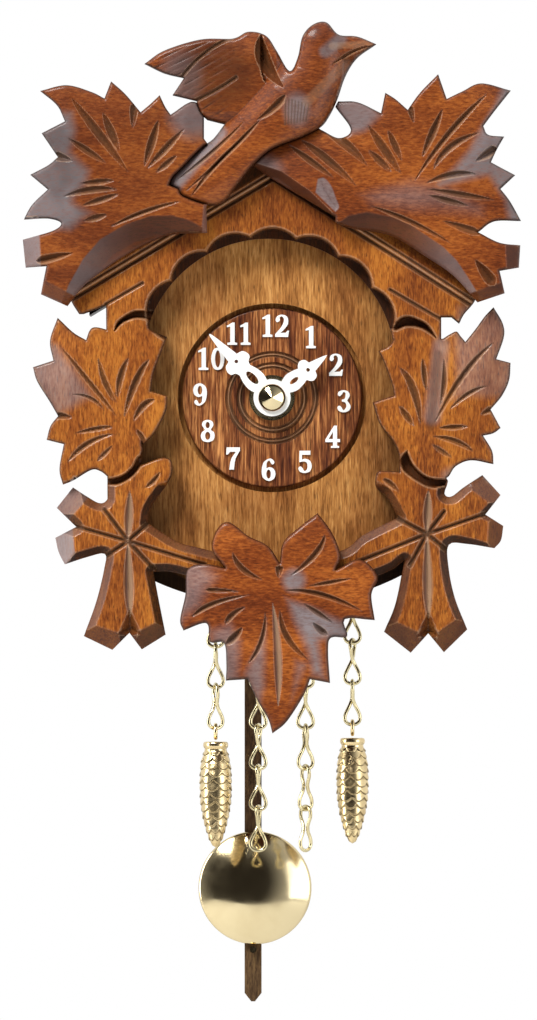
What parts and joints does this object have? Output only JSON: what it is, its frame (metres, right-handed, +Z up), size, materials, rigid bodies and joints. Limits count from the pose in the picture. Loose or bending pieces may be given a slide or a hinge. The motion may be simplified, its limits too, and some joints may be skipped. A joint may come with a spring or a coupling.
{
  "type": "pendulum wall clock",
  "caption": "Small carved wooden pendulum wall clock with leaf and bird carvings, quartz movement, hanging chains and pine-cone weights, hung on one nail.",
  "frame": {"origin": "centre of the round hanging hole, in the plane of the wall at the clock's back", "axes": "+Z up, +X right as seen from the front, +Y into the wall; the dial faces -Y"},
  "size_m": [0.1047, 0.051, 0.2067],
  "materials": {
    "carved_wood": "clear satin lacquer over orange-brown stain, upright grain",
    "leaf_wood": "satin lacquer over red-brown stain with darkened edges, level grain",
    "panel_wood": "satin lacquer over brown stain",
    "case_wood": "thin dark brown stain",
    "dial_wood": "turned red-brown wood, satin",
    "rod_wood": "dark brown stain",
    "white_plastic": "smooth",
    "movement_plastic": "fine texture",
    "gear_plastic": "moulded",
    "brass": "polished",
    "aged_brass": "antique",
    "cone_metal": "antique cast",
    "steel": "zinc plated",
    "copper_coil": "enamelled wire",
    "board_green": "solder resist",
    "battery_jacket": "printed jacket without text"
  },
  "bodies": {
    "case": {"carved_frame": "carved_wood", "bird": "leaf_wood", "left_crown_leaf": "leaf_wood", "right_crown_leaf": "leaf_wood", "bottom_leaf": "leaf_wood", "front_panel": "panel_wood", "left_side_board": "case_wood", "right_side_board": "case_wood", "left_roof_board": "case_wood", "right_roof_board": "case_wood", "bottom_board": "case_wood", "back_rail": "case_wood", "dial": "dial_wood", "numerals": "white_plastic", "movement_front_shell": "movement_plastic", "movement_back_cover": "movement_plastic", "mounting_nut": "aged_brass", "chain_eyes": "aged_brass", "hanger_plate": "steel", "hanger_screws": "steel", "stator": "steel", "quartz_crystal": "steel", "battery_contacts": "steel", "motor_coil": "copper_coil", "pendulum_coil": "copper_coil", "circuit_board": "board_green", "battery": "battery_jacket"},
    "minute_works": {"minute_arbor": "brass", "minute_hand": "white_plastic", "hand_nut": "brass"},
    "hour_works": {"hour_wheel": "gear_plastic", "hour_hand": "white_plastic"},
    "motion_works": {"motion_wheel": "gear_plastic"},
    "setting_works": {"setting_knob": "movement_plastic"},
    "seconds_works": {"seconds_wheel": "gear_plastic"},
    "intermediate_works": {"intermediate_wheel": "gear_plastic"},
    "rotor_works": {"rotor": "steel"},
    "third_works": {"third_wheel": "gear_plastic"},
    "centre_works": {"centre_wheel": "gear_plastic"},
    "pendulum": {"pendulum_lever": "white_plastic", "drive_magnet": "steel", "pendulum_hook": "steel", "pendulum_rod": "rod_wood", "rod_pin": "brass"},
    "bob": {"pendulum_bob": "brass", "bob_clip": "brass"},
    "left_chain": {"left_weight_chain": "aged_brass"},
    "right_chain": {"right_weight_chain": "aged_brass"},
    "left_tail": {"left_chain_tail": "aged_brass"},
    "right_tail": {"right_chain_tail": "aged_brass"},
    "left_cone": {"left_weight": "cone_metal"},
    "right_cone": {"right_weight": "cone_metal"}
  },
  "joints": [
    {"name": "minute_turn", "type": "hinge", "parent": "case", "child": "minute_works", "pos_m": [0, -0.03, -0.032], "axis": [0, 1, 0], "continuous": true},
    {"name": "hour_turn", "type": "hinge", "parent": "case", "child": "hour_works", "pos_m": [0, -0.03, -0.032], "axis": [0, 1, 0], "continuous": true},
    {"name": "motion_turn", "type": "hinge", "parent": "case", "child": "motion_works", "pos_m": [-0.01128, -0.022, -0.0279], "axis": [0, 1, 0], "continuous": true},
    {"name": "setting_turn", "type": "hinge", "parent": "case", "child": "setting_works", "pos_m": [-0.02255, -0.022, -0.032], "axis": [0, 1, 0], "continuous": true},
    {"name": "seconds_turn", "type": "hinge", "parent": "case", "child": "seconds_works", "pos_m": [0.01656, -0.022, -0.0228], "axis": [0, 1, 0], "continuous": true},
    {"name": "intermediate_turn", "type": "hinge", "parent": "case", "child": "intermediate_works", "pos_m": [0.00898, -0.022, -0.01842], "axis": [0, 1, 0], "continuous": true},
    {"name": "rotor_turn", "type": "hinge", "parent": "case", "child": "rotor_works", "pos_m": [0.0016, -0.022, -0.01712], "axis": [0, 1, 0], "continuous": true},
    {"name": "third_turn", "type": "hinge", "parent": "case", "child": "third_works", "pos_m": [0.01125, -0.022, -0.032], "axis": [0, 1, 0], "continuous": true},
    {"name": "centre_turn", "type": "hinge", "parent": "case", "child": "centre_works", "pos_m": [0, -0.03, -0.032], "axis": [0, 1, 0], "continuous": true},
    {"name": "pendulum_swing", "type": "hinge", "parent": "case", "child": "pendulum", "pos_m": [-0.004, -0.012, -0.012], "axis": [0, 1, 0], "range_deg": [-6, 6]},
    {"name": "bob_slide", "type": "slide", "parent": "pendulum", "child": "bob", "axis": [0, 0, 1], "range_m": [0, 0.02]},
    {"name": "left_chain_sway", "type": "hinge", "parent": "case", "child": "left_chain", "pos_m": [-0.0119, -0.024, -0.067], "axis": [0, 1, 0], "range_deg": [-1, 12]},
    {"name": "left_weight_sway", "type": "hinge", "parent": "left_chain", "child": "left_cone", "pos_m": [-0.0119, -0.024, -0.1014], "axis": [0, 1, 0], "range_deg": [-3, 10]},
    {"name": "right_chain_sway", "type": "hinge", "parent": "case", "child": "right_chain", "pos_m": [0.017, -0.024, -0.0662], "axis": [0, 1, 0], "range_deg": [-12, 1]},
    {"name": "right_weight_sway", "type": "hinge", "parent": "right_chain", "child": "right_cone", "pos_m": [0.017, -0.024, -0.1006], "axis": [0, 1, 0], "range_deg": [-10, 3]},
    {"name": "left_tail_sway", "type": "hinge", "parent": "case", "child": "left_tail", "pos_m": [-0.0029, -0.024, -0.067], "axis": [0, 1, 0], "range_deg": [-1.5, 1.5]},
    {"name": "right_tail_sway", "type": "hinge", "parent": "case", "child": "right_tail", "pos_m": [0.0071, -0.024, -0.067], "axis": [0, 1, 0], "range_deg": [-1.5, 1.5]}
  ],
  "couplings": [
    {"joint": "hour_turn", "follows": "minute_turn", "ratio": 0.083333},
    {"joint": "motion_turn", "follows": "minute_turn", "ratio": -0.33333},
    {"joint": "setting_turn", "follows": "minute_turn", "ratio": 1},
    {"joint": "intermediate_turn", "follows": "seconds_turn", "ratio": -6},
    {"joint": "rotor_turn", "follows": "seconds_turn", "ratio": 30},
    {"joint": "third_turn", "follows": "seconds_turn", "ratio": -0.13333},
    {"joint": "centre_turn", "follows": "seconds_turn", "ratio": 0.016667}
  ]
}
